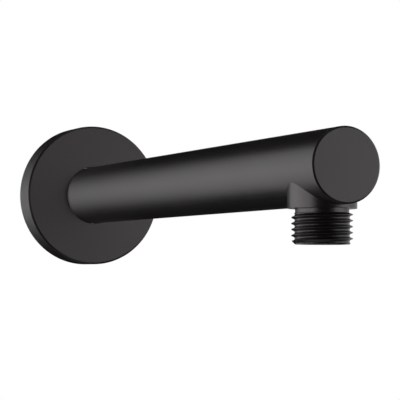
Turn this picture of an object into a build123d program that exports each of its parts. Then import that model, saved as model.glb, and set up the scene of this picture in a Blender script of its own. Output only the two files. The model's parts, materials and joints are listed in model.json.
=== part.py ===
from build123d import *
import os

os.makedirs("parts", exist_ok=True)

# A wall shower arm. The origin is on the tube's axis in the plane of the wall, +X runs along the arm
# away from the wall, +Z is up, and the outlet points down. Millimetres.

# Tube: the reach runs from the wall to the closed end
arm_reach = 240.0
tube_diameter = 26.0
tube_wall = 2.0

# Clearances: radial gap in a brazed joint, of the escutcheon on the tube, and at the grip ring
braze_clearance = 0.05
slide_clearance = 0.2
grip_clearance = 0.05

# G 1/2 pipe thread, as a plain blank of its outer diameter, with a relief groove turned below its root
thread_diameter = 20.955
thread_depth = 1.162
thread_run_in = 0.5
thread_lead_in = 1.3
relief_undercut = 0.12
root_wall = 1.7

# Outlet: collar cut to the tube, relief and thread below it, and a spigot through the tube's wall
spigot_wall = 1.5
collar_ledge = 2.9
collar_drop = 0.95
collar_edge_chamfer = 0.1
collar_end_margin = 4.45
outlet_relief_length = 2.2
outlet_thread_length = 9.95

# End cap: flange flush with the tube, plug inside it, short of the outlet's hole
cap_thickness = 2.0
cap_edge_chamfer = 0.5
cap_hole_margin = 1.3
cap_plug_chamfer = 0.4

# Wall nipple: shoulder against the tube's end, insert in its bore, thread into the wall
shoulder_thickness = 3.0
insert_length = 15.0
insert_chamfer = 0.6
nipple_relief_length = 2.0
nipple_thread_length = 16.0

# Escutcheon: flat face, hollow back, and a hub that stops short of the wall and holds the grip ring
escutcheon_diameter = 64.0
escutcheon_depth = 12.0
escutcheon_edge_chamfer = 0.5
face_wall = 3.0
rim_wall = 2.5
hub_wall = 2.5
hub_setback = 2.0
bore_edge_chamfer = 0.3

# Rubber grip ring of rectangular section, with play on both sides of it in its groove
ring_thickness = 2.4
ring_width = 3.2
ring_edge_chamfer = 0.4
groove_side_play = 0.15

# Radii that follow from these sizes
tube_radius = tube_diameter / 2
tube_bore_radius = tube_radius - tube_wall
plug_radius = tube_bore_radius - braze_clearance
thread_radius = thread_diameter / 2
root_radius = thread_radius - thread_depth
relief_radius = root_radius - relief_undercut
waterway_radius = relief_radius - root_wall
spigot_radius = waterway_radius + spigot_wall
spigot_hole_radius = spigot_radius + braze_clearance
collar_radius = spigot_radius + collar_ledge
collar_diameter = 2 * collar_radius
escutcheon_radius = escutcheon_diameter / 2
escutcheon_bore_radius = tube_radius + slide_clearance
ring_inner_radius = tube_radius + grip_clearance
ring_outer_radius = ring_inner_radius + ring_thickness
groove_radius = ring_outer_radius + grip_clearance
hub_radius = groove_radius + hub_wall

# Places along the arm, and heights below its axis
tube_start = shoulder_thickness
tube_end = arm_reach - cap_thickness
outlet_x = arm_reach - collar_end_margin - collar_radius
plug_start = outlet_x + spigot_hole_radius + cap_hole_margin
ring_x = (hub_setback + escutcheon_depth) / 2
groove_width = ring_width + 2 * groove_side_play
collar_bottom = tube_radius + collar_drop
outlet_bottom = collar_bottom + outlet_relief_length + outlet_thread_length
nipple_end = nipple_relief_length + nipple_thread_length

# Working planes: one looks down along the outlet, one looks back into the wall
outlet_plane = Plane(origin=(outlet_x, 0, 0), x_dir=(1, 0, 0), z_dir=(0, 0, -1))
wall_plane = Plane(origin=(0, 0, 0), x_dir=(0, 1, 0), z_dir=(-1, 0, 0))
arm_section = Plane.YZ


class ThreadedStub(BasePartObject):
    """Turned pipe end along +Z: a relief groove, then a thread blank with a cone at each end."""

    def __init__(self, relief_length: float, thread_length: float, mode: Mode = Mode.ADD):
        stub_length = relief_length + thread_length
        with BuildPart() as stub:
            with BuildSketch(Plane.XZ):
                with BuildLine():
                    Polyline(
                        (0, 0),
                        (relief_radius, 0),
                        (relief_radius, relief_length),
                        (thread_radius, relief_length + thread_run_in),
                        (thread_radius, stub_length - thread_lead_in),
                        (root_radius, stub_length),
                        (0, stub_length),
                        close=True,
                    )
                make_face()
            revolve(axis=Axis.Z)
        super().__init__(part=stub.part, mode=mode)


# Arm tube: drawn tube with one round hole through its underside for the outlet's spigot
with BuildPart() as arm_tube:
    with BuildSketch(arm_section.offset(tube_start)):
        Circle(tube_radius)
        Circle(tube_bore_radius, mode=Mode.SUBTRACT)
    extrude(amount=tube_end - tube_start)
    with BuildSketch(outlet_plane):
        Circle(spigot_hole_radius)
    extrude(amount=tube_radius, mode=Mode.SUBTRACT)

arm_tube.part.label = "arm_tube"
export_step(arm_tube.part, "parts/arm_tube.step")

# End cap: flange with a broken edge, and a plug that centres it in the tube
with BuildPart() as end_cap:
    with BuildSketch(arm_section.offset(plug_start)):
        Circle(plug_radius)
    extrude(amount=tube_end - plug_start)
    chamfer(end_cap.edges().group_by(Axis.X)[0], length=cap_plug_chamfer)
    with BuildSketch(arm_section.offset(tube_end)):
        Circle(tube_radius)
    extrude(amount=cap_thickness)
    chamfer(end_cap.edges().group_by(Axis.X)[-1], length=cap_edge_chamfer)

end_cap.part.label = "end_cap"
export_step(end_cap.part, "parts/end_cap.step")

# Outlet spigot: the collar is saddle-cut to the outside of the tube, then the spigot inside it goes
# on through the tube's wall and is trimmed flush with the tube's bore
with BuildPart() as outlet_spigot:
    with BuildSketch(outlet_plane):
        Circle(collar_radius)
    extrude(amount=collar_bottom)
    chamfer(outlet_spigot.edges().group_by(Axis.Z)[0], length=collar_edge_chamfer)
    with BuildSketch(arm_section.offset(outlet_x)):
        Circle(tube_radius + braze_clearance)
    extrude(amount=collar_diameter, both=True, mode=Mode.SUBTRACT)
    with BuildSketch(outlet_plane):
        Circle(spigot_radius)
    extrude(amount=collar_bottom)
    with BuildSketch(arm_section.offset(outlet_x)):
        Circle(tube_bore_radius)
    extrude(amount=collar_diameter, both=True, mode=Mode.SUBTRACT)
    with Locations(outlet_plane.offset(collar_bottom)):
        ThreadedStub(outlet_relief_length, outlet_thread_length)
    with BuildSketch(outlet_plane):
        Circle(waterway_radius)
    extrude(amount=outlet_bottom, mode=Mode.SUBTRACT)

outlet_spigot.part.label = "outlet_spigot"
export_step(outlet_spigot.part, "parts/outlet_spigot.step")

# Wall nipple: insert, shoulder and thread turned on one axis, with the waterway through all three
with BuildPart() as wall_nipple:
    with BuildSketch(arm_section.offset(tube_start)):
        Circle(plug_radius)
    extrude(amount=insert_length)
    chamfer(wall_nipple.edges().group_by(Axis.X)[-1], length=insert_chamfer)
    with BuildSketch(wall_plane.offset(-tube_start)):
        Circle(tube_radius)
    extrude(amount=shoulder_thickness)
    with Locations(wall_plane):
        ThreadedStub(nipple_relief_length, nipple_thread_length)
    with BuildSketch(wall_plane.offset(nipple_end)):
        Circle(waterway_radius)
    extrude(amount=-(nipple_end + tube_start + insert_length), mode=Mode.SUBTRACT)

wall_nipple.part.label = "wall_nipple"
export_step(wall_nipple.part, "parts/wall_nipple.step")

# Escutcheon: half section turned about the tube's axis, then the ring's groove cut in the hub
with BuildPart() as escutcheon:
    with BuildSketch(Plane.XY):
        with BuildLine():
            Polyline(
                (0, escutcheon_radius),
                (escutcheon_depth, escutcheon_radius),
                (escutcheon_depth, escutcheon_bore_radius),
                (hub_setback, escutcheon_bore_radius),
                (hub_setback, hub_radius),
                (escutcheon_depth - face_wall, hub_radius),
                (escutcheon_depth - face_wall, escutcheon_radius - rim_wall),
                (0, escutcheon_radius - rim_wall),
                close=True,
            )
        make_face()
    revolve(axis=Axis.X)
    front_edges = escutcheon.edges().group_by(Axis.X)[-1].sort_by(SortBy.RADIUS)
    chamfer(front_edges[0], length=bore_edge_chamfer)
    chamfer(front_edges[-1], length=escutcheon_edge_chamfer)
    with BuildSketch(arm_section.offset(ring_x)):
        Circle(groove_radius)
    extrude(amount=groove_width / 2, both=True, mode=Mode.SUBTRACT)

escutcheon.part.label = "escutcheon"
export_step(escutcheon.part, "parts/escutcheon.step")

# Grip ring: rubber ring round the tube, in the middle of the escutcheon's groove
with BuildPart() as escutcheon_grip_ring:
    with BuildSketch(arm_section.offset(ring_x)):
        Circle(ring_outer_radius)
        Circle(ring_inner_radius, mode=Mode.SUBTRACT)
    extrude(amount=ring_width / 2, both=True)
    chamfer(escutcheon_grip_ring.edges().filter_by(GeomType.CIRCLE), length=ring_edge_chamfer)

escutcheon_grip_ring.part.label = "escutcheon_grip_ring"
export_step(escutcheon_grip_ring.part, "parts/escutcheon_grip_ring.step")
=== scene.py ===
# %% [markdown]
# # A wall shower arm in matt black
#
# This arm carries a shower head away from the wall. It is a straight drawn tube with a flat cover on
# the wall, a closed flat end, and an outlet below it with a pipe thread. The lesson starts from the
# arm's solid model, which fixes every size, and turns it into something that looks made and painted.
# Loading the solids first means that every surface here can be placed by numbers, not by eye.

# %% The solid model
import json
import math

import bmesh
import bpy
import numpy as np
from mathutils import Matrix, Vector


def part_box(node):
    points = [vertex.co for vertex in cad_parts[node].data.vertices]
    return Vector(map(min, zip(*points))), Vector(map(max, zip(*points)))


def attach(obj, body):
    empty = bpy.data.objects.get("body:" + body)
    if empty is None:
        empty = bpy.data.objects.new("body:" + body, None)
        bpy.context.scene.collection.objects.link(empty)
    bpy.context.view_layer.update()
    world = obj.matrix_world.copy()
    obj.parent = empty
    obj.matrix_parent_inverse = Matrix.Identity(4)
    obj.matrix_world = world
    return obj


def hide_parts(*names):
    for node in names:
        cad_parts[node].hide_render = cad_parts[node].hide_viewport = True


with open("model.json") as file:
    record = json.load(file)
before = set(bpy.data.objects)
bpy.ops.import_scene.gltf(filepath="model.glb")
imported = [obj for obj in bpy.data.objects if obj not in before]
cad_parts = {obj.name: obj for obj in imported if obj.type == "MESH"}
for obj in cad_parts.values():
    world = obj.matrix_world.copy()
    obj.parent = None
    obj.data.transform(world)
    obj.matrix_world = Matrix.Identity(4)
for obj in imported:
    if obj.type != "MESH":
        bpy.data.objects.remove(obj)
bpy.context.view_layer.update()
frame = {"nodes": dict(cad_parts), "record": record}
print("solids:", sorted(frame["nodes"]))

# %% [markdown]
# ## Sizes
#
# A maker works from a drawing. Here the drawing is the solid model: its boxes give the tube, the
# cover and the ends, and its threads are listed with their place, radius and length. Only what a box
# can't show, such as a wall or the form of a thread, is given one by one. All lengths are metres.

# %% Sizes
MM = 0.001
threads = {mount["name"]: mount for mount in frame["record"]["mounts"] if mount["kind"] == "pin"}
tube_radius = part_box("arm_tube")[1].y
tube_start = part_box("arm_tube")[0].x
tube_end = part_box("arm_tube")[1].x
tube_wall = 2.0 * MM
tube_bore = tube_radius - tube_wall
braze_gap = 0.05 * MM

thread_pitch = 2.04 * MM
thread_depth = 1.162 * MM
thread_radius = threads["outlet_thread"]["dims"]["r_mm"] * MM
root_radius = thread_radius - thread_depth
relief_undercut = 0.12 * MM
relief_radius = root_radius - relief_undercut
root_wall = 1.7 * MM
waterway = relief_radius - root_wall
run_in = 0.5 * MM
run_out = 0.8 * MM
lead_in = 1.3 * MM
print(f"tube {2 * tube_radius / MM:.1f} mm, thread {2 * thread_radius / MM:.3f} mm")

# %% [markdown]
# ## From numbers to a mesh
#
# Every piece of this arm but the tube was turned on a lathe, so its mesh is a grid: rows follow the
# turner's profile and columns go round the axis. Blender could spin a drawn profile with a Screw
# modifier, but a grid worked out as one array also takes heights that change round the axis, which
# the saddle and the threads need. Merging the points that coincide closes the seam and the poles.

# %% A closed mesh from a grid of points
COLUMNS = 160
angle = np.linspace(0.0, 2.0 * np.pi, COLUMNS + 1)
MERGE = 1e-6
SHARP = math.radians(42.0)


def add_piece(name, points, material):
    """A grid of points (rows, columns, 3) as a mesh: each cell between four neighbours is one face."""
    rows, columns = points.shape[:2]
    corner = np.arange(rows * columns).reshape(rows, columns)
    cells = np.stack([corner[:-1, :-1], corner[1:, :-1], corner[1:, 1:], corner[:-1, 1:]], axis=-1)
    mesh = bpy.data.meshes.new(name)
    mesh.from_pydata(points.reshape(-1, 3).tolist(), [], cells.reshape(-1, 4).tolist())
    work = bmesh.new()
    work.from_mesh(mesh)
    bmesh.ops.remove_doubles(work, verts=work.verts, dist=MERGE)
    bmesh.ops.dissolve_degenerate(work, edges=work.edges, dist=MERGE)
    bmesh.ops.recalc_face_normals(work, faces=work.faces)
    open_edges = sum(not edge.is_manifold for edge in work.edges)
    work.to_mesh(mesh)
    work.free()
    mesh.shade_smooth()
    mesh.set_sharp_from_angle(angle=SHARP)
    mesh.materials.append(material)
    piece = bpy.data.objects.new(name, mesh)
    bpy.context.scene.collection.objects.link(piece)
    print(f"{name}: {len(mesh.polygons)} faces, {open_edges} open edges")
    return piece


def placed(points, origin, along):
    """Local points stood on origin with their axis along a direction.

    It is a turn and not a mirror, so a thread keeps its hand.
    """
    along = np.array(along, float)
    across = np.array([1.0, 0.0, 0.0]) if abs(along[0]) < 0.5 else np.array([0.0, 1.0, 0.0])
    axes = np.stack([across, np.cross(along, across), along])
    return points @ axes + np.array(origin, float)


def around(radius, height):
    """Surface round the local Z axis: (radius cos a, radius sin a, height) at angle a for every row."""
    radius, height = np.broadcast_arrays(radius, height)
    return np.stack([radius * np.cos(angle), radius * np.sin(angle), height + 0.0 * angle], axis=-1)


# %% [markdown]
# A sharp corner in a mesh never catches the light, and no painted part has one. So every corner of a
# profile gets a small arc, which touches the straight runs on both sides of it. A narrow strip of
# each run is kept beside the arc, so that the smooth shading of the arc doesn't bleed into the flats.

# %% Profiles with rounded corners
ARC_POINTS = 7
ARC = np.linspace(0.0, 1.0, ARC_POINTS)[None, :, None]
STRIP = 1.2


def rounded(corners, radii):
    """A run of straight lines with each inner corner replaced by an arc of its radius.

    The arc starts radius / tan(half the corner's angle) before the corner and ends as far after it.
    Its centre lies on the corner's bisector, and its spokes turn from the first point to the last.
    """
    corners = np.array(corners, float)
    corner, radius = corners[1:-1], np.array(radii, float)[:, None]
    back = corners[:-2] - corner
    ahead = corners[2:] - corner
    back /= np.linalg.norm(back, axis=1, keepdims=True)
    ahead /= np.linalg.norm(ahead, axis=1, keepdims=True)
    half = np.arccos(np.clip((back * ahead).sum(1, keepdims=True), -1.0, 1.0)) / 2.0
    bisector = (back + ahead) / np.linalg.norm(back + ahead, axis=1, keepdims=True)
    centre = corner + bisector * radius / np.sin(half)
    reach = radius / np.tan(half)
    first = (corner + back * reach - centre)[:, None]
    last = (corner + ahead * reach - centre)[:, None]
    sweep = (np.pi - 2.0 * half)[:, None]
    arc = (first * np.sin((1.0 - ARC) * sweep) + last * np.sin(ARC * sweep)) / np.sin(sweep)
    before = (corner + back * reach * STRIP)[:, None]
    after = (corner + ahead * reach * STRIP)[:, None]
    bends = np.concatenate([before, arc + centre[:, None], after], axis=1).reshape(-1, 2)
    return np.concatenate([corners[:1], bends, corners[-1:]])


def turned(profile):
    """Profile points (radius, height) carried once round the local Z axis."""
    return around(profile[:, :1], profile[:, 1:])


# %% [markdown]
# ## Shader sums
#
# A finish is a small calculation: so much roughness, plus a little where the coat is thicker. In the
# node editor that is a tangle of Math nodes. This class wraps one socket and lets Python's own
# operators add those nodes, so that a finish reads like the sum that it is.

# %% Sockets that can be added and multiplied


class Strand:
    """One socket of a node tree. A sum or product of strands adds the Math node that works it out."""

    def __init__(self, tree, socket=None):
        self.tree = tree
        self.socket = socket

    def node(self, kind, settings, inputs, output=0):
        """A new node: first its settings, then a value or a link for each socket that is named."""
        made = self.tree.nodes.new(kind)
        for name, value in settings.items():
            setattr(made, name, value)
        for key, value in inputs.items():
            if isinstance(value, Strand):
                self.tree.links.new(value.socket, made.inputs[key])
            else:
                made.inputs[key].default_value = value
        return Strand(self.tree, made.outputs[output] if len(made.outputs) else None)

    def math(self, operation, first, second):
        """The Math node of one operation on two strands or numbers."""
        return self.node("ShaderNodeMath", {"operation": operation}, {0: first, 1: second})

    def __add__(self, other):
        return self.math("ADD", self, other)

    def __sub__(self, other):
        return self.math("SUBTRACT", self, other)

    def __mul__(self, other):
        return self.math("MULTIPLY", self, other)

    def __rsub__(self, other):
        return self.math("SUBTRACT", other, self)

    __radd__ = __add__
    __rmul__ = __mul__


def new_finish(name):
    """An empty material and a strand to start its nodes from."""
    material = bpy.data.materials.new(name)
    material.use_nodes = True
    material.node_tree.nodes.clear()
    return material, Strand(material.node_tree)


# %% [markdown]
# ## The matt black coat
#
# The coat is a sprayed black that was baked on: nearly no colour of its own, and a broad soft gloss.
# Seen close it isn't flat. It has a fine grain from the spray, a slow waviness from the coat's
# thickness, and it is a touch glossier where it ran thicker. Three noises on Object coordinates give
# these, so the pattern runs on over every joint as the real coat does.

# %% Matt black coat
GRAIN_SIZE = 0.25 * MM
WAVE_SIZE = 1.6 * MM
CLOUD_SIZE = 22.0 * MM
CLOUD_GLOSS = 0.05
GRAIN_GLOSS = 0.06
GRAIN_HEIGHT = 0.35
COAT_BUMP = 0.12
COAT_RELIEF = 0.02 * MM
COAT_SHEEN = (1.0, 0.94, 0.97, 1.0)
PAINT_IOR = 1.5
MIX_SHARE, MIX_FIRST, MIX_LAST, MIX_RESULT = 0, 6, 7, 2


def noise(start, place, size, detail):
    """Noise from 0 to 1 whose features are about one size across."""
    return start.node(
        "ShaderNodeTexNoise",
        {"noise_dimensions": "3D"},
        {"Vector": place, "Scale": 1.0 / size, "Detail": detail, "Roughness": 0.5},
    )


def blend(start, share, first, last):
    """A colour that goes from the first to the last as the share goes from 0 to 1."""
    return start.node(
        "ShaderNodeMix",
        {"data_type": "RGBA"},
        {MIX_SHARE: share, MIX_FIRST: first, MIX_LAST: last},
        MIX_RESULT,
    )


def sprayed_coat(name, dark, pale, gloss):
    """Black coat: dark where it is thick, a little pale where thin, with grain in roughness and bump."""
    material, start = new_finish(name)
    place = start.node("ShaderNodeTexCoord", {}, {}, "Object")
    grain = noise(start, place, GRAIN_SIZE, 2.0)
    wave = noise(start, place, WAVE_SIZE, 1.0)
    cloud = noise(start, place, CLOUD_SIZE, 3.0)
    shade = blend(start, 0.5 * cloud + 0.5 * grain, dark, pale)
    roughness = gloss + CLOUD_GLOSS * (cloud - 0.5) + GRAIN_GLOSS * (grain - 0.5)
    height = GRAIN_HEIGHT * grain + (1.0 - GRAIN_HEIGHT) * wave
    normal = start.node(
        "ShaderNodeBump",
        {},
        {"Height": height, "Strength": COAT_BUMP, "Distance": COAT_RELIEF},
    )
    coat = start.node(
        "ShaderNodeBsdfPrincipled",
        {},
        {
            "Base Color": shade,
            "Roughness": roughness,
            "IOR": PAINT_IOR,
            "Specular Tint": COAT_SHEEN,
            "Normal": normal,
        },
    )
    start.node("ShaderNodeOutputMaterial", {}, {"Surface": coat})
    print("finish:", name)
    return material


COAT_DARK = (0.0065, 0.0055, 0.0060, 1.0)
COAT_PALE = (0.0115, 0.0100, 0.0107, 1.0)
COAT_GLOSS = 0.36
arm_coat = sprayed_coat("arm_coat", COAT_DARK, COAT_PALE, COAT_GLOSS)
cover_coat = sprayed_coat("cover_coat", COAT_DARK, COAT_PALE, COAT_GLOSS)

# %% [markdown]
# ## The tube
#
# The drawn tube is a plain round form that the solid model already has right, with its hole for the
# outlet. It keeps its own mesh and only takes the coat, through the material slot it came with.

# %% Tube
frame["nodes"]["arm_tube"].material_slots[0].material = arm_coat
print("tube keeps its solid:", len(frame["nodes"]["arm_tube"].data.polygons), "faces")

# %% [markdown]
# ## The pipe thread
#
# Both ends carry a half-inch pipe thread: steep ridges two millimetres apart, with round crests and
# wider round roots that each hold a soft line of light. A texture could fake the ridges, but they
# show in the outline, so they have to be real. The trick is to lean the grid: each row climbs one
# pitch in a turn, as the ridge does, so the same few rows describe every turn, and row k meets row
# k + one pitch where the turn closes.

# %% Thread form and thread rows
ROWS_PER_PITCH = 36
CREST_ROUND = 0.22 * MM
ROOT_ROUND = 0.6 * MM
ZIGZAG = 2.4 * MM
ridge_line = rounded(
    [
        (-thread_pitch / 4.0, ZIGZAG / 2.0),
        (0.0, ZIGZAG),
        (thread_pitch / 2.0, 0.0),
        (0.75 * thread_pitch, ZIGZAG / 2.0),
    ],
    [CREST_ROUND, ROOT_ROUND],
)
ridge_line[:, 1] -= ridge_line[:, 1].min()
ridge_line[:, 1] *= thread_depth / ridge_line[:, 1].max()


def thread_form(distance):
    """Height above the root at a distance along the axis from a crest.

    It is a steep zigzag with its crests and roots rounded, repeated every pitch, and scaled so that
    it rises from 0 to the thread's depth.
    """
    first = ridge_line[0, 0]
    return np.interp(first + np.mod(distance - first, thread_pitch), *ridge_line.T)


def thread_rows(start, end, crest):
    """Radius and height of a right-hand thread between two heights, with a crest at one height.

    Row k leans by one pitch a turn. Heights stop at both ends, where a cone leads in or out.
    """
    lean = thread_pitch * angle / (2.0 * np.pi)
    low = math.floor((start - crest) / thread_pitch) - 1
    high = math.ceil((end - crest) / thread_pitch)
    step = np.arange(low * ROWS_PER_PITCH, high * ROWS_PER_PITCH + 1)[:, None] / ROWS_PER_PITCH
    height = np.clip(crest + step * thread_pitch + lean, start, end)
    ridge = root_radius + thread_form(height - lean - crest)
    cone = np.interp(
        height,
        [start, start + run_in, end - lead_in, end],
        [relief_radius, thread_radius, thread_radius, root_radius],
    )
    return np.stack([np.minimum(ridge, cone), height], axis=-1)


def rows_of(profile):
    """A profile (points, 2) as rows that are the same all the way round."""
    return np.repeat(profile[:, None, :], COLUMNS + 1, axis=1)


# %% [markdown]
# ## The outlet
#
# The outlet was turned with a collar, then the collar was cut to the round of the tube and brazed
# on, so its top edge is a saddle: high at the sides, low along the arm. Its rows are heights below
# the tube's axis. On the saddle that height is sqrt(tube radius squared - (radius sin a) squared),
# and below it the rows are plain circles until the thread starts to lean.

# %% Outlet with its saddle
outlet_x = threads["outlet_thread"]["pos_m"][0]
outlet_low, outlet_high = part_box("outlet_spigot")
collar_radius = (outlet_high.x - outlet_low.x) / 2.0
outlet_bottom = -outlet_low.z
land_middle = -threads["outlet_thread"]["pos_m"][2]
land_length = threads["outlet_thread"]["dims"]["length_mm"] * MM
relief_end = land_middle - land_length / 2.0 - run_in
relief_length = 2.2 * MM
collar_bottom = relief_end - relief_length
thread_top = relief_end - run_out
collar_straight = 0.4 * MM
ledge_dish = 0.25 * MM
spigot_wall = 1.5 * MM
spigot_radius = waterway + spigot_wall
mouth_bevel = 0.3 * MM
mouth_depth = 1.5 * MM
LEDGE_ROUND = 0.06 * MM
NECK_ROUND = 0.25 * MM
MOUTH_ROUND = 0.08 * MM
COLLAR_ROWS = 12
BORE_ROWS = 8
SPIGOT_ROWS = 4
SEAT_ROWS = 6
LEFT_OUTLINE = math.radians(115.5)
LEFT_CREST_DROP = 25.12 * MM
crest_drop = LEFT_CREST_DROP - thread_pitch * LEFT_OUTLINE / (2.0 * math.pi)


def saddle(radius, tube):
    """Depth below the tube's axis of a cylinder's cut at that radius, all the way round."""
    return np.sqrt(tube**2 - (radius * np.sin(angle)) ** 2)


def between(first, last, count):
    """Rows that go in even steps from one row of (radius, height) to another."""
    share = np.linspace(0.0, 1.0, count)[:, None, None]
    return (1.0 - share) * first + share * last


def ring(radius, height):
    """One row: a radius and a height for every angle."""
    return np.stack(np.broadcast_arrays(radius + 0.0 * angle, height + 0.0 * angle), axis=-1)[None]


def seat_rows(first, last, tube, count):
    """Rows of a saddle face between two radii, all cut by the same tube."""
    radius = np.linspace(first, last, count)[:, None]
    return np.stack(np.broadcast_arrays(radius + 0.0 * angle, saddle(radius, tube)), axis=-1)


collar_side = rounded(
    [
        (collar_radius, collar_bottom - collar_straight),
        (collar_radius, collar_bottom),
        (relief_radius, collar_bottom - ledge_dish),
        (relief_radius, thread_top),
    ],
    [LEDGE_ROUND, NECK_ROUND],
)
outlet_end = rounded(
    [
        (root_radius, outlet_bottom),
        (waterway + mouth_bevel, outlet_bottom),
        (waterway, outlet_bottom - mouth_bevel),
        (waterway, outlet_bottom - mouth_depth),
    ],
    [MOUTH_ROUND, MOUTH_ROUND],
)
seat = tube_radius + braze_gap
collar_top = ring(collar_radius, saddle(collar_radius, seat))
bore_top = ring(waterway, saddle(waterway, tube_bore))
spigot_inside = ring(spigot_radius, saddle(spigot_radius, tube_bore))
spigot_outside = ring(spigot_radius, saddle(spigot_radius, seat))
outlet_rows = np.concatenate(
    [
        between(collar_top, rows_of(collar_side[:1]), COLLAR_ROWS),
        rows_of(collar_side),
        thread_rows(thread_top, outlet_bottom, crest_drop),
        rows_of(outlet_end),
        between(rows_of(outlet_end[-1:]), bore_top, BORE_ROWS),
        seat_rows(waterway, spigot_radius, tube_bore, SPIGOT_ROWS),
        between(spigot_inside, spigot_outside, SPIGOT_ROWS),
        seat_rows(spigot_radius, collar_radius, seat, SEAT_ROWS),
    ]
)
outlet = add_piece(
    "outlet",
    placed(around(outlet_rows[..., 0], outlet_rows[..., 1]), (outlet_x, 0.0, 0.0), (0.0, 0.0, -1.0)),
    arm_coat,
)
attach(outlet, "root")
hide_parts("outlet_spigot")

# %% [markdown]
# ## The end cap
#
# A turned disc closes the tube. Its rim is flush with the tube, and its edge is broken by a narrow
# bevel, which shows as the dark line round the end. A round would catch a lamp at some point of its
# turn and show pale there. The profile starts and ends on the axis, so its first and last rows
# shrink to single points, which close the poles.

# %% End cap
cap_low, cap_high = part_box("end_cap")
plug_radius = tube_bore - braze_gap
plug_bevel = 0.4 * MM
cap_bevel_across = 0.64 * MM
cap_bevel_along = 0.37 * MM
CAP_ROUNDS = np.array([0.1, 0.1, 0.05, 0.02, 0.08, 0.08]) * MM
cap_profile = rounded(
    [
        (0.0, cap_low.x),
        (plug_radius - plug_bevel, cap_low.x),
        (plug_radius, cap_low.x + plug_bevel),
        (plug_radius, tube_end),
        (tube_radius, tube_end),
        (tube_radius, cap_high.x - cap_bevel_along),
        (tube_radius - cap_bevel_across, cap_high.x),
        (0.0, cap_high.x),
    ],
    CAP_ROUNDS,
)
end_disc = add_piece(
    "end_disc",
    placed(turned(cap_profile), (0.0, 0.0, 0.0), (1.0, 0.0, 0.0)),
    arm_coat,
)
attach(end_disc, "root")
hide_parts("end_cap")

# %% [markdown]
# ## The wall nipple
#
# Behind the cover the tube ends in a turned nipple: an insert in the tube, a shoulder, a relief
# groove and the thread that screws into the wall. It is hidden in use but seen from the back, so it
# gets the same thread as the outlet.

# %% Wall nipple
nipple_low, nipple_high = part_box("wall_nipple")
nipple_end = -nipple_low.x
nipple_land_middle = -threads["wall_thread"]["pos_m"][0]
nipple_land_length = threads["wall_thread"]["dims"]["length_mm"] * MM
nipple_thread_top = nipple_land_middle - nipple_land_length / 2.0 - run_in
insert_end = -nipple_high.x
insert_bevel = 0.6 * MM
bore_start = insert_end + 2.0 * MM
NIPPLE_ROUNDS = np.array([0.2, 0.1, 0.1, 0.05, 0.02, 0.3, 0.25]) * MM
nipple_outside = rounded(
    [
        (waterway, bore_start),
        (waterway, insert_end),
        (plug_radius - insert_bevel, insert_end),
        (plug_radius, insert_end + insert_bevel),
        (plug_radius, -tube_start),
        (tube_radius, -tube_start),
        (tube_radius, 0.0),
        (relief_radius, 0.0),
        (relief_radius, nipple_thread_top),
    ],
    NIPPLE_ROUNDS,
)
nipple_mouth = rounded(
    [
        (root_radius, nipple_end),
        (waterway + mouth_bevel, nipple_end),
        (waterway, nipple_end - mouth_bevel),
        (waterway, bore_start),
    ],
    [MOUTH_ROUND, MOUTH_ROUND],
)
nipple_rows = np.concatenate(
    [
        rows_of(nipple_outside),
        thread_rows(nipple_thread_top, nipple_end, nipple_end - lead_in),
        rows_of(nipple_mouth),
    ]
)
nipple = add_piece(
    "wall_thread",
    placed(around(nipple_rows[..., 0], nipple_rows[..., 1]), (0.0, 0.0, 0.0), (-1.0, 0.0, 0.0)),
    arm_coat,
)
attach(nipple, "root")
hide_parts("wall_nipple")

# %% [markdown]
# ## The wall cover
#
# The cover is a turned cup: a flat face, a plain rim, and a hub inside it with a groove for the
# rubber ring. It slides along the tube until its rim meets the wall. One closed profile gives the
# face, the hollow back and the groove together. Its front edge has a narrow bevel like the end cap's,
# which draws a fine dark line round the face.

# %% Wall cover
cover_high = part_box("escutcheon")[1]
ring_low, ring_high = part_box("escutcheon_grip_ring")
cover_radius = cover_high.z
cover_depth = cover_high.x
slide_gap = 0.2 * MM
cover_bore = tube_radius + slide_gap
face_wall = 3.0 * MM
rim_wall = 2.5 * MM
hub_wall = 2.5 * MM
hub_back = 2.0 * MM
grip_gap = 0.05 * MM
groove_play = 0.15 * MM
groove_radius = ring_high.z + grip_gap
groove_back = ring_low.x - groove_play
groove_front = ring_high.x + groove_play
hub_radius = groove_radius + hub_wall
cover_bevel_across = 0.8 * MM
cover_bevel_along = 0.45 * MM
FACE_ROUNDS = [0.08, 0.08, 0.06]
GROOVE_ROUNDS = [0.08, 0.1, 0.1, 0.08]
BACK_ROUNDS = [0.15, 0.2, 0.5, 0.8, 0.25, 0.15]
cover_profile = rounded(
    [
        (cover_radius, cover_depth / 2.0),
        (cover_radius, cover_depth - cover_bevel_along),
        (cover_radius - cover_bevel_across, cover_depth),
        (cover_bore, cover_depth),
        (cover_bore, groove_front),
        (groove_radius, groove_front),
        (groove_radius, groove_back),
        (cover_bore, groove_back),
        (cover_bore, hub_back),
        (hub_radius, hub_back),
        (hub_radius, cover_depth - face_wall),
        (cover_radius - rim_wall, cover_depth - face_wall),
        (cover_radius - rim_wall, 0.0),
        (cover_radius, 0.0),
        (cover_radius, cover_depth / 2.0),
    ],
    np.array(FACE_ROUNDS + GROOVE_ROUNDS + BACK_ROUNDS) * MM,
)
cover = add_piece(
    "wall_cover",
    placed(turned(cover_profile), (0.0, 0.0, 0.0), (1.0, 0.0, 0.0)),
    cover_coat,
)
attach(cover, "root")
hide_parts("escutcheon")

# %% [markdown]
# ## The rubber ring
#
# The ring in the hub's groove grips the tube and keeps the cover against the wall. Its solid is
# right as it is. Rubber is duller than the coat and shows a fine moulded grain.

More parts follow.
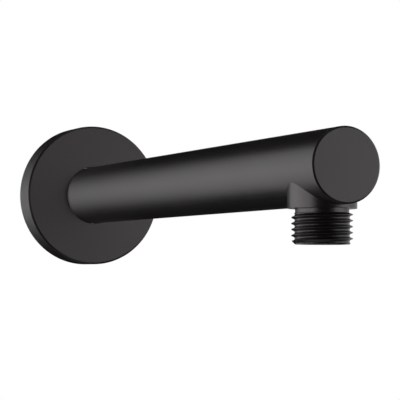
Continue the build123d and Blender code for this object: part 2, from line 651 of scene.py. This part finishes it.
# %% Rubber ring
PORE_SIZE = 0.3 * MM
BLOOM_SIZE = 6.0 * MM
RUBBER_DARK = (0.014, 0.014, 0.014, 1.0)
RUBBER_PALE = (0.026, 0.026, 0.025, 1.0)
RUBBER_ROUGHNESS = 0.6
PORE_ROUGHNESS = 0.15
RUBBER_BUMP = 0.3
PORE_DEPTH = 0.03 * MM
RUBBER_IOR = 1.5

rubber, start = new_finish("ring_rubber_black")
place = start.node("ShaderNodeTexCoord", {}, {}, "Object")
pores = noise(start, place, PORE_SIZE, 3.0)
bloom = noise(start, place, BLOOM_SIZE, 2.0)
tint = blend(start, bloom, RUBBER_DARK, RUBBER_PALE)
dents = start.node(
    "ShaderNodeBump",
    {},
    {"Height": pores, "Strength": RUBBER_BUMP, "Distance": PORE_DEPTH},
)
dullness = RUBBER_ROUGHNESS + PORE_ROUGHNESS * (pores - 0.5)
skin = start.node(
    "ShaderNodeBsdfPrincipled",
    {},
    {"Base Color": tint, "Roughness": dullness, "IOR": RUBBER_IOR, "Normal": dents},
)
start.node("ShaderNodeOutputMaterial", {}, {"Surface": skin})
frame["nodes"]["escutcheon_grip_ring"].material_slots[0].material = rubber
print("finish:", rubber.name)

# %% [markdown]
# ## The camera
#
# The photograph was taken with a long lens from the free end, a little below the arm. The place and
# the turn of the camera come from fitting the outlines of the tube, the cover and the end face.

# %% Camera
LENS = 139.07
CAMERA_PLACE = Vector((0.67979, -0.26190, -0.03636))
BEARING = math.radians(64.662)
TILT = math.radians(2.749)
ROLL = math.radians(0.249)

forward = Vector(
    (-math.sin(BEARING) * math.cos(TILT), math.cos(BEARING) * math.cos(TILT), math.sin(TILT))
)
level_right = forward.cross(Vector((0.0, 0.0, 1.0))).normalized()
level_up = level_right.cross(forward)
right = math.cos(ROLL) * level_right + math.sin(ROLL) * level_up
up = math.cos(ROLL) * level_up - math.sin(ROLL) * level_right
lens = bpy.data.cameras.new("camera")
lens.lens = LENS
lens.clip_start = 0.01
lens.clip_end = 50.0
camera = bpy.data.objects.new("camera", lens)
turn = Matrix((right, up, -forward)).transposed().to_4x4()
camera.matrix_world = Matrix.Translation(CAMERA_PLACE) @ turn
bpy.context.scene.collection.objects.link(camera)
bpy.context.scene.camera = camera
print("camera at", tuple(round(value, 3) for value in camera.location))

# %% [markdown]
# ## The studio
#
# A black coat has hardly a tone of its own. It shows the lamps around it, spread by its soft gloss,
# so the lamps stand where the photograph shows their light: a low strip on the left for the collar, a
# tall panel behind it whose light runs along the tube, a box on the right for the two flat faces, and
# a dim panel behind that for the thread. Each is given by the bearings and the elevations that it
# fills, seen from the arm, because that is how a reflection sees a lamp.

# %% Soft boxes
ARM_MIDDLE = Vector((0.12, 0.0, 0.0))
LAMP_DISTANCE = 1.2
ENERGY_PER_GLOW = 4.0


def soft_box(name, away, width, height, rise, glow):
    """A flat lamp square to a direction from the arm, and raised by a height.

    Energy is glow times area times a constant, so that a glow of 1 looks as bright as white paper.
    """
    lamp = bpy.data.lights.new(name, "AREA")
    lamp.shape = "RECTANGLE"
    lamp.size = width
    lamp.size_y = height
    lamp.energy = ENERGY_PER_GLOW * glow * width * height
    box = bpy.data.objects.new(name, lamp)
    place = ARM_MIDDLE + LAMP_DISTANCE * away + Vector((0.0, 0.0, rise))
    box.matrix_world = Matrix.Translation(place) @ away.to_track_quat("Z", "Y").to_matrix().to_4x4()
    box.visible_camera = False
    bpy.context.scene.collection.objects.link(box)
    print(f"{name}: {width:.2f} by {height:.2f} m, glow {glow}")
    return box


def upright_box(name, bearings, elevations, glow):
    """An upright lamp that fills two bearings and two elevations, in degrees.

    Half its width is the distance times the tangent of half its bearings, and its lower and upper
    edges stand at the distance times the tangents of its elevations.
    """
    first, last = np.radians(bearings)
    low, high = LAMP_DISTANCE * np.tan(np.radians(elevations))
    middle = (first + last) / 2.0
    width = 2.0 * LAMP_DISTANCE * math.tan((last - first) / 2.0)
    away = Vector((math.cos(middle), math.sin(middle), 0.0))
    return soft_box(name, away, width, high - low, (low + high) / 2.0, glow)


left_strip = upright_box("left_strip", (-132.0, -55.6), (-14.75, 9.4), glow=3.1)
left_panel = upright_box("left_panel", (-158.75, -132.0), (-35.0, 32.75), glow=1.38)
right_box = upright_box("right_box", (23.6, 69.5), (-17.9, 15.6), glow=1.88)
upright_box("back_panel", (69.5, 148.6), (-29.9, 55.1), glow=0.73)

# %% [markdown]
# The other sides need light too, or a black part is only a shadow there. Four more lamps stand where
# the camera of the photograph sees next to nothing of them in the coat: above, below, beyond the end,
# and behind the wall cover, whose own shade keeps that lamp off the tube.

# %% Fill lamps
UPWARD = Vector((0.0, 0.0, 1.0))
DOWNWARD = Vector((0.0, 0.0, -1.0))
soft_box("top_box", UPWARD, width=0.9, height=1.0, rise=0.0, glow=0.75)
soft_box("low_box", DOWNWARD, width=1.4, height=1.0, rise=0.0, glow=0.5)
end_box = upright_box("end_box", (-8.0, 20.0), (-10.0, 40.0), glow=0.6)
upright_box("wall_box", (175.2, 184.8), (-4.8, 4.8), glow=6.0)

# %% [markdown]
# The photograph shows the tube bright right up to the cover, no tube mirrored in the cover's face,
# and a collar and thread that are black in front. A photographer lights such pieces one at a time and
# joins the shots. Light linking does it in one shot: a piece can be left out of what shades a lamp,
# its blockers, or of what the lamp lights, its receivers.

# %% Pieces left out of a lamp's light or shade


def leave_out(box, role, pieces):
    """Takes some pieces out of a lamp's blockers or receivers, and leaves all the others in."""
    group = bpy.data.collections.new(f"{box.name}_{role}")
    for piece in pieces:
        group.objects.link(piece)
    for row in group.collection_objects:
        row.light_linking.link_state = "EXCLUDE"
    setattr(box.light_linking, f"{role}_collection", group)
    print(box.name, role, "leaves out", [piece.name for piece in pieces])


leave_out(left_strip, "blocker", [cover])
leave_out(left_panel, "blocker", [cover])
leave_out(right_box, "blocker", [frame["nodes"]["arm_tube"], end_disc, outlet])
leave_out(end_box, "receiver", [outlet])

# %% [markdown]
# Dark cloth on all sides keeps the rest of the coat black, as black cards do round a glossy product.
# It stands out of the picture: the camera sees past it, and so does the lamps' light on the floor.

# %% Dark cloth
CLOTH_LOW = Vector((-3.0, -3.0, -1.3))
CLOTH_HIGH = Vector((3.0, 3.0, 3.0))
cloth_mesh = bpy.data.meshes.new("dark_cloth")
work = bmesh.new()
bmesh.ops.create_cube(work, size=1.0)
bmesh.ops.scale(work, vec=CLOTH_HIGH - CLOTH_LOW, verts=work.verts)
bmesh.ops.translate(work, vec=(CLOTH_HIGH + CLOTH_LOW) / 2.0, verts=work.verts)
work.to_mesh(cloth_mesh)
work.free()
cloth = bpy.data.objects.new("dark_cloth", cloth_mesh)
bpy.context.scene.collection.objects.link(cloth)
cloth.visible_camera = False
cloth.visible_shadow = False
black, start = new_finish("black_cloth")
weave = start.node("ShaderNodeBsdfDiffuse", {}, {"Color": (0.0, 0.0, 0.0, 1.0)})
start.node("ShaderNodeOutputMaterial", {}, {"Surface": weave})
cloth_mesh.materials.append(black)

# %% [markdown]
# ## White ground
#
# The ground of the photograph is white. The room and the floor give that white to rays that come
# from the camera, from gloss or through glass, at a strength of 1, and light nothing else. The floor
# is a pale disc just under the cloth. What it takes from the lamps carries the arm's shadow, and its
# glow rises to full white at its edge, so that no line shows where the floor ends.

# %% Room
FLOOR_HEIGHT = -1.32
FLOOR_RADIUS = 2.5
FLOOR_GLOW = 0.85
FLOOR_FADE = 4.0
FLOOR_PAINT = (0.8, 0.8, 0.8, 1.0)
WHITE = (1.0, 1.0, 1.0, 1.0)


def seen_rays(start):
    """1 for a ray that shows the ground: from the camera, from gloss or through glass. Else 0."""
    shown = start.node("ShaderNodeLightPath", {}, {}, "Is Camera Ray")
    for kind in ("Is Glossy Ray", "Is Transmission Ray"):
        shown = start.math("MAXIMUM", shown, start.node("ShaderNodeLightPath", {}, {}, kind))
    return shown


world = bpy.data.worlds.new("white_room")
bpy.context.scene.world = world
world.use_nodes = True
world.node_tree.nodes.clear()
start = Strand(world.node_tree)
room = start.node(
    "ShaderNodeBackground",
    {},
    {"Color": WHITE, "Strength": seen_rays(start)},
)
start.node("ShaderNodeOutputWorld", {}, {"Surface": room})
print("room is white")

# %% Floor
pale, start = new_finish("pale_floor")
matt = start.node("ShaderNodeBsdfDiffuse", {}, {"Color": FLOOR_PAINT})
white = start.node("ShaderNodeEmission", {}, {"Color": WHITE, "Strength": 1.0})
place = start.node("ShaderNodeTexCoord", {}, {}, "Object")
reach = start.node("ShaderNodeVectorMath", {"operation": "LENGTH"}, {0: place}, "Value")
fade = start.math("POWER", start.math("MINIMUM", reach * (1.0 / FLOOR_RADIUS), 1.0), FLOOR_FADE)
share = (FLOOR_GLOW + (1.0 - FLOOR_GLOW) * fade) * seen_rays(start)
ground = start.node("ShaderNodeMixShader", {}, {0: share, 1: matt, 2: white})
start.node("ShaderNodeOutputMaterial", {}, {"Surface": ground})
disc = turned(np.array([(0.0, FLOOR_HEIGHT), (FLOOR_RADIUS, FLOOR_HEIGHT)]))
floor = add_piece("floor", disc, pale)

# %% View transform
bpy.context.scene.view_settings.view_transform = "Standard"
